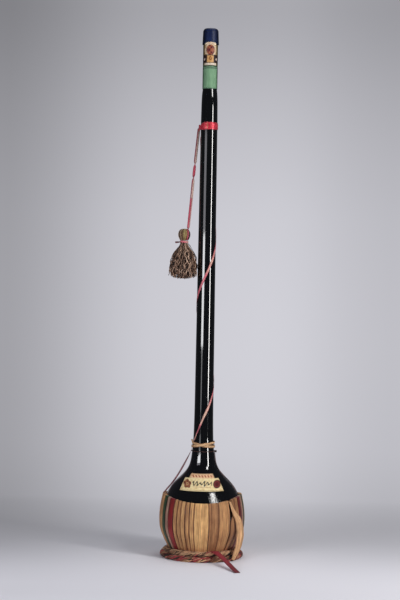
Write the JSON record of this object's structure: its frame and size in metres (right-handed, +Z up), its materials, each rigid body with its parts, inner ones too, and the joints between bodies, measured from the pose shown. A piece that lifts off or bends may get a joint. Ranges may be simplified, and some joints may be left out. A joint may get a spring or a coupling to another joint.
{
  "type": "straw-covered wine flask",
  "caption": "Very tall long-necked wine flask in a straw basket on a straw ring, with cork, blue capsule, ribbons, paper label and a hanging tassel.",
  "frame": {"origin": "centre of the base ring on the surface that the flask stands on", "axes": "+Z up along the neck, -Y out of the front with the paper label, +X to the right seen from the front"},
  "size_m": [0.1878, 0.2889, 1.16],
  "materials": {
    "dark_glass": "gloss",
    "wine": "gloss",
    "cork": "matte",
    "blue_capsule": "satin",
    "seal_paper": "satin",
    "green_paper": "matte",
    "red_satin": "satin",
    "pink_ribbon": "satin",
    "raffia": "matte",
    "dark_cord": "matte",
    "label_paper": "matte",
    "banner_paper": "matte",
    "straw": "matte",
    "red_straw": "matte",
    "white_straw": "matte",
    "green_straw": "matte",
    "straw_rope": "matte",
    "tassel_straw": "matte"
  },
  "bodies": {
    "flask": {"glass_flask": "dark_glass", "glass_flask_mouth": "dark_glass", "wine": "wine", "neck_seal_strip": "seal_paper", "green_neck_band": "green_paper", "red_ribbon_band": "red_satin", "red_ribbon_knot": "red_satin", "winding_ribbon": "pink_ribbon", "raffia_neck_tie": "raffia", "raffia_knot": "raffia", "dark_neck_cord": "dark_cord", "shoulder_strand": "dark_cord", "shoulder_label": "label_paper", "label_banner": "banner_paper", "broad_straw_blades": "straw", "narrow_straw_blades": "straw", "red_straw_blades": "red_straw", "white_straw_blades": "white_straw", "green_straw_blades": "green_straw", "loose_straw_blade": "straw", "rim_cord": "straw", "basket_floor": "straw", "base_ring": "straw_rope", "red_ribbon_tail": "red_satin"},
    "cork": {"cork": "cork"},
    "capsule": {"capsule": "blue_capsule"},
    "hanging_ribbon": {"hanging_ribbon": "pink_ribbon"},
    "tassel": {"tassel_hanger": "pink_ribbon", "tassel_head": "tassel_straw", "tassel_waist_tie": "red_satin", "tassel_skirt": "tassel_straw"}
  },
  "joints": [
    {"name": "cork_pull", "type": "slide", "parent": "flask", "child": "cork", "axis": [0, 0, 1], "range_m": [0, 0.045]},
    {"name": "capsule_lift", "type": "slide", "parent": "cork", "child": "capsule", "axis": [0, 0, 1], "range_m": [0, 0.045]},
    {"name": "ribbon_swing", "type": "hinge", "parent": "flask", "child": "hanging_ribbon", "pos_m": [-0.0223, 0, 0.9392], "axis": [0, 1, 0], "range_deg": [0, 75]},
    {"name": "tassel_tilt", "type": "hinge", "parent": "hanging_ribbon", "child": "tassel", "pos_m": [-0.0416, 0, 0.7212], "axis": [0, 1, 0], "range_deg": [0, 50]}
  ]
}
